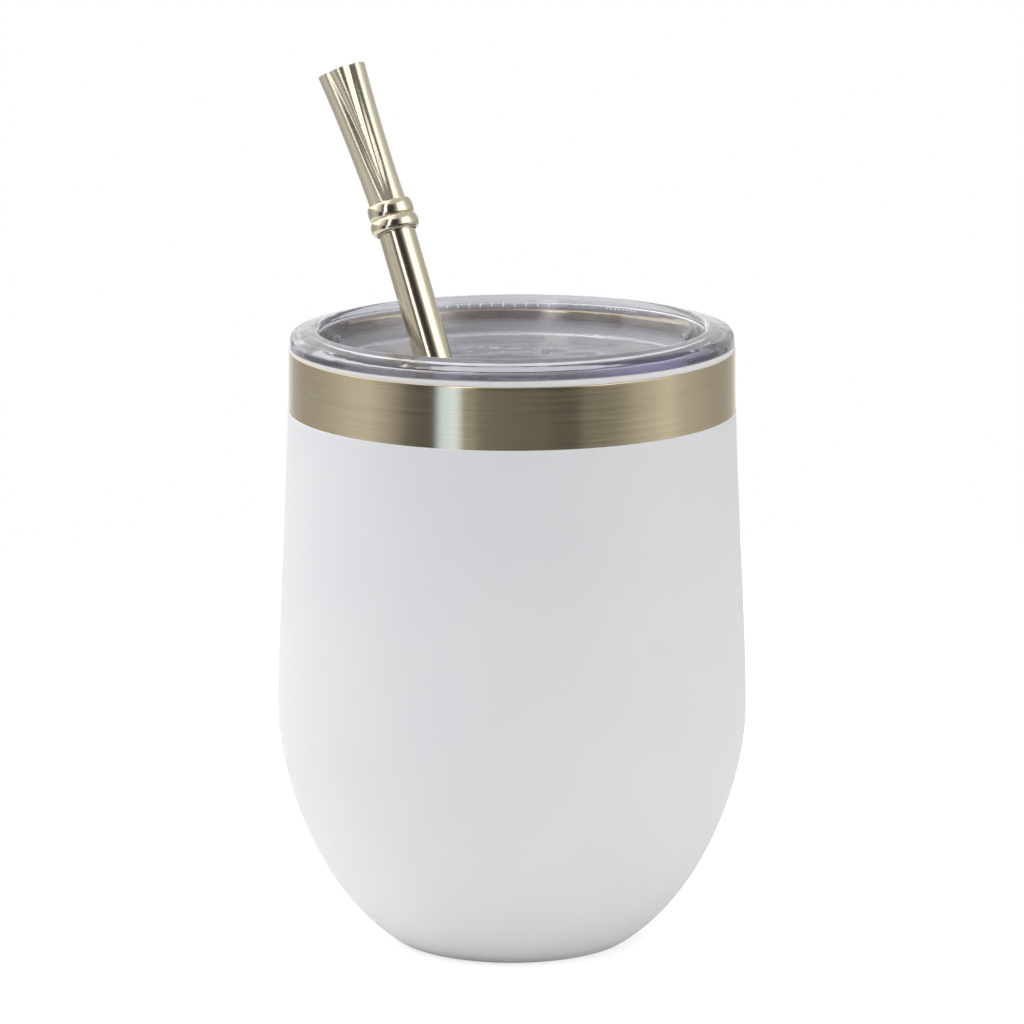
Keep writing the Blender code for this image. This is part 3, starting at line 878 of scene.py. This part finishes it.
# %% Polished steel and the tube
def polished_steel():
    """Stainless steel, polished lengthwise to a soft mirror, with the warm tone of a used felt wheel."""
    material, tree, output = new_material("stainless_steel_polished")
    place = add_node(tree, "ShaderNodeTexCoord")
    haze = add_node(tree, "ShaderNodeTexNoise", {
        "Vector": place.outputs["Object"], "Scale": 900.0, "Detail": 3.0})
    rough = add_node(tree, "ShaderNodeMapRange", {
        "Value": haze.outputs["Fac"], "To Min": 0.10, "To Max": 0.17})
    tone = add_node(tree, "ShaderNodeMix", {"Factor": haze.outputs["Fac"], 6: linear("#DAD0B6"),
                                            7: linear("#E3DAC2")}, data_type="RGBA")
    shader = add_node(tree, "ShaderNodeBsdfPrincipled", {
        "Base Color": tone.outputs[2], "Metallic": 1.0, "Roughness": rough.outputs[0]})
    tree.links.new(shader.outputs[0], output.inputs["Surface"])
    return material


def along(lean, origin):
    """A placement whose local Z runs up a lean and whose local -Y faces the front."""
    axis = Vector((lean[0], lean[1], 1.0)).normalized()
    side = axis.cross(Vector((0.0, -1.0, 0.0))).normalized() * -1
    rows = Matrix((side, axis.cross(side), axis)).transposed()
    return Matrix.Translation(origin) @ rows.to_4x4()


TUBE_STEPS = 40


def tube_section(length):
    """A pipe wall's section with plain cut ends, down its outside and up its bore."""
    outside = [(TUBE_RADIUS - INSET, length * (1 - i / TUBE_STEPS)) for i in range(TUBE_STEPS + 1)]
    inside = [(TUBE_RADIUS - TUBE_WALL, length * i / TUBE_STEPS) for i in range(TUBE_STEPS + 1)]
    return outside + inside


STEEL = polished_steel()
tube_foot = tube_point(TUBE_FOOT_HEIGHT)
tube_length = (tube_point(COLLAR_HEIGHT) - tube_foot).length - JOINT_OFFSET / 2
tube_mesh = turned_mesh("polished_tube", tube_section(tube_length), 96)
tube_mesh.transform(along(TUBE_LEAN, tube_foot))
add_piece("polished_tube", tube_mesh, STEEL, "polished_steel", "drinking_tube")

# %% [markdown]
# ## Collar
# A small turned ring with two beads covers the joint between tube and mouthpiece.

# %% Collar
COLLAR_HALF = 0.0029
COLLAR_BORE = 0.00375
COLLAR_SLEEVE = 0.00400
BEAD_PITCH = 0.0028
LOWER_BEAD_RADIUS = 0.00460
UPPER_BEAD_RADIUS = 0.00435
COLLAR_STEPS = 72
BORE_FUNNEL = 0.0002


def bead_radius(height):
    """Outer radius of the collar at a height along it: two beads and the sleeve between."""
    half = BEAD_PITCH / 2
    beads = ((-half, LOWER_BEAD_RADIUS), (half, UPPER_BEAD_RADIUS))
    radius = COLLAR_SLEEVE
    for centre, top in beads:
        inside = 1 - ((height - centre) / half) ** 2
        if inside > 0:
            radius = max(radius, COLLAR_SLEEVE + (top - COLLAR_SLEEVE) * math.sqrt(inside))
    return radius


def collar_section():
    """The ring's section, from the top of its bore down its beads and back up the bore."""
    heights = [COLLAR_HALF * (1 - 2 * i / COLLAR_STEPS) for i in range(COLLAR_STEPS + 1)]
    outside = [(bead_radius(h) - INSET, h) for h in heights]
    return [(COLLAR_BORE - BORE_FUNNEL, COLLAR_HALF)] + outside + [(COLLAR_BORE, -COLLAR_HALF)]


collar_mesh = turned_mesh("beaded_collar", collar_section(), 128)
collar_mesh.transform(along(TUBE_LEAN, tube_point(COLLAR_HEIGHT)))
add_piece("beaded_collar", collar_mesh, STEEL, "polished_steel", "tube_collar")

# %% [markdown]
# ## Mouthpiece
# The mouthpiece starts as round pipe, is flared with a cone, and is pressed between two ridged jaws,
# which leaves a pair of grooves in front and a pair behind that run apart towards the lips. All of that
# is one rule in angle and height, so Geometry Nodes fit well: a grid is rolled into a tube, and the rule
# gives each point its radius. The four grooves come from one pair, because the angle is wrapped to half a
# turn and mirrored.

# %% Mouthpiece rule
MOUTH_LEAN = (-0.365, 0.330)
MOUTH_LENGTH = 0.0292
MOUTH_START_RADIUS = 0.00345
MOUTH_FLARE = 0.00115
MOUTH_FLARE_POWER = 2.1
MOUTH_FLATTEN = 0.15
MOUTH_WALL = 0.0005
MOUTH_EDGE = 0.00018
GROOVE_GROWTH = 0.35
GROOVE_DEPTH = 0.0006
GROOVE_WIDTH = math.radians(13)
GROOVE_SPREAD = math.radians(27)
GROOVE_TWIST = math.radians(9)


def satin_steel():
    """Stainless steel tumbled in a drum of fine media: even, soft, satin, with a warm ivory tone."""
    material, tree, output = new_material("stainless_steel_satin")
    place = add_node(tree, "ShaderNodeTexCoord")
    grit = add_node(tree, "ShaderNodeTexNoise", {
        "Vector": place.outputs["Object"], "Scale": 1600.0, "Detail": 3.0})
    rough = add_node(tree, "ShaderNodeMapRange", {
        "Value": grit.outputs["Fac"], "To Min": 0.23, "To Max": 0.31})
    tone = add_node(tree, "ShaderNodeMix", {"Factor": grit.outputs["Fac"], 6: linear("#DFD6BE"),
                                            7: linear("#E9E0CA")}, data_type="RGBA")
    bump = add_node(tree, "ShaderNodeBump", {
        "Height": grit.outputs["Fac"], "Strength": 0.04, "Distance": 0.00003})
    shader = add_node(tree, "ShaderNodeBsdfPrincipled", {
        "Base Color": tone.outputs[2], "Metallic": 1.0, "Roughness": rough.outputs[0],
        "Normal": bump.outputs[0]})
    tree.links.new(shader.outputs[0], output.inputs["Surface"])
    return material


# The rule, one sum a line: its name, the operation, and what goes in
FLUTE_SUMS = [
    ("angle", "MULTIPLY", "x", 2 * math.pi),
    ("rise", "ADD", "y", 0.5),
    ("left", "SUBTRACT", 1.0, "rise"),
    ("flare share", "POWER", "rise", "Flare Power"),
    ("plain", "MULTIPLY_ADD", "flare share", "Flare", "Start Radius"),
    ("twist", "MULTIPLY", "Groove Twist", "left"),
    ("turned", "SUBTRACT", "angle", "twist"),
    ("half turn", "WRAP", "turned", math.pi / 2, -math.pi / 2),
    ("groove at", "MULTIPLY", "Groove Spread", "rise"),
    ("mirrored", "ABSOLUTE", "half turn"),
    ("away", "SUBTRACT", "mirrored", "groove at"),
    ("widths", "DIVIDE", "away", "Groove Width"),
    ("squared", "POWER", "widths", 2.0),
    ("falling", "MULTIPLY", "squared", -1.0),
    ("bell", "EXPONENT", "falling"),
    ("growing", "DIVIDE", "rise", GROOVE_GROWTH),
    ("grown", "MINIMUM", "growing", 1.0),
    ("full depth", "MULTIPLY", "grown", "Groove Depth"),
    ("depth", "MULTIPLY", "full depth", "bell"),
    ("radius", "SUBTRACT", "plain", "depth"),
    ("flattened", "MULTIPLY", "Flatten", "rise"),
    ("squash", "SUBTRACT", 1.0, "flattened"),
    ("sine", "SINE", "angle"),
    ("cosine", "COSINE", "angle"),
    ("across", "MULTIPLY", "radius", "sine"),
    ("forward", "MULTIPLY", "radius", "cosine"),
    ("squashed", "MULTIPLY", "forward", "squash"),
    ("deep", "MULTIPLY", "squashed", -1.0),
    ("height", "MULTIPLY", "rise", "Length"),
]


def fluted_tree():
    """The tree that rolls a grid into the fluted, flaring mouthpiece."""
    real = "NodeSocketFloat"
    labels = ["Length", "Start Radius", "Flare", "Flare Power", "Flatten", "Groove Depth", "Groove Width",
              "Groove Spread", "Groove Twist"]
    sockets = [(label, real) for label in labels]
    sockets += [("Sides", "NodeSocketInt"), ("Levels", "NodeSocketInt"), ("Material", "NodeSocketMaterial")]
    tree, given = new_geometry_tree("fluted_tube", sockets)

    known = {label: given.outputs[label] for label, _ in sockets}
    count = {}
    for label in ("Sides", "Levels"):
        count[label] = add_node(tree, "ShaderNodeMath", {0: known[label], 1: 1.0}, operation="ADD").outputs[0]
    grid = add_node(tree, "GeometryNodeMeshGrid", {"Size X": 1.0, "Size Y": 1.0, "Vertices X": count["Sides"],
                                                   "Vertices Y": count["Levels"]})
    place = add_node(tree, "GeometryNodeInputPosition")
    axes = add_node(tree, "ShaderNodeSeparateXYZ", {0: place.outputs[0]})
    known.update(x=axes.outputs["X"], y=axes.outputs["Y"])
    for name, operation, *values in FLUTE_SUMS:
        inputs = {i: known[v] if isinstance(v, str) else v for i, v in enumerate(values)}
        known[name] = add_node(tree, "ShaderNodeMath", inputs, operation=operation).outputs[0]
    spot = add_node(tree, "ShaderNodeCombineXYZ", {0: known["across"], 1: known["deep"], 2: known["height"]})
    rolled = add_node(tree, "GeometryNodeSetPosition", {
        "Geometry": grid.outputs[0], "Position": spot.outputs[0]})
    closed = add_node(tree, "GeometryNodeMergeByDistance", {
        "Geometry": rolled.outputs[0], "Distance": 0.000002})
    finish_tree(tree, given, closed.outputs[0])
    return tree


def walled(mesh, wall, edge):
    """The mesh given a wall inwards and a rounded edge."""
    carrier = bpy.data.objects.new("walled", mesh)
    bpy.context.scene.collection.objects.link(carrier)
    shell = carrier.modifiers.new("Wall", "SOLIDIFY")
    shell.thickness = wall
    shell.offset = -1
    soften = carrier.modifiers.new("Edge", "BEVEL")
    soften.width = edge
    soften.segments = 4
    soften.limit_method = "ANGLE"
    soften.angle_limit = math.radians(60)
    result = evaluated_mesh(carrier)
    bpy.data.objects.remove(carrier, do_unlink=True)
    return result


SATIN = satin_steel()
mouth_sizes = {
    "Length": MOUTH_LENGTH, "Start Radius": MOUTH_START_RADIUS, "Flare": MOUTH_FLARE,
    "Flare Power": MOUTH_FLARE_POWER, "Flatten": MOUTH_FLATTEN, "Groove Depth": GROOVE_DEPTH,
    "Groove Width": GROOVE_WIDTH, "Groove Spread": GROOVE_SPREAD, "Groove Twist": GROOVE_TWIST,
    "Sides": 192, "Levels": 72, "Material": SATIN}
mouth_mesh = walled(run_tree(fluted_tree(), "fluted_mouthpiece", mouth_sizes), MOUTH_WALL, MOUTH_EDGE)
joint = along(TUBE_LEAN, tube_point(COLLAR_HEIGHT)) @ Vector((0, 0, JOINT_OFFSET))
mouth_mesh.transform(along(MOUTH_LEAN, joint))
add_piece("fluted_mouthpiece", mouth_mesh, SATIN, "polished_steel", "mouthpiece")
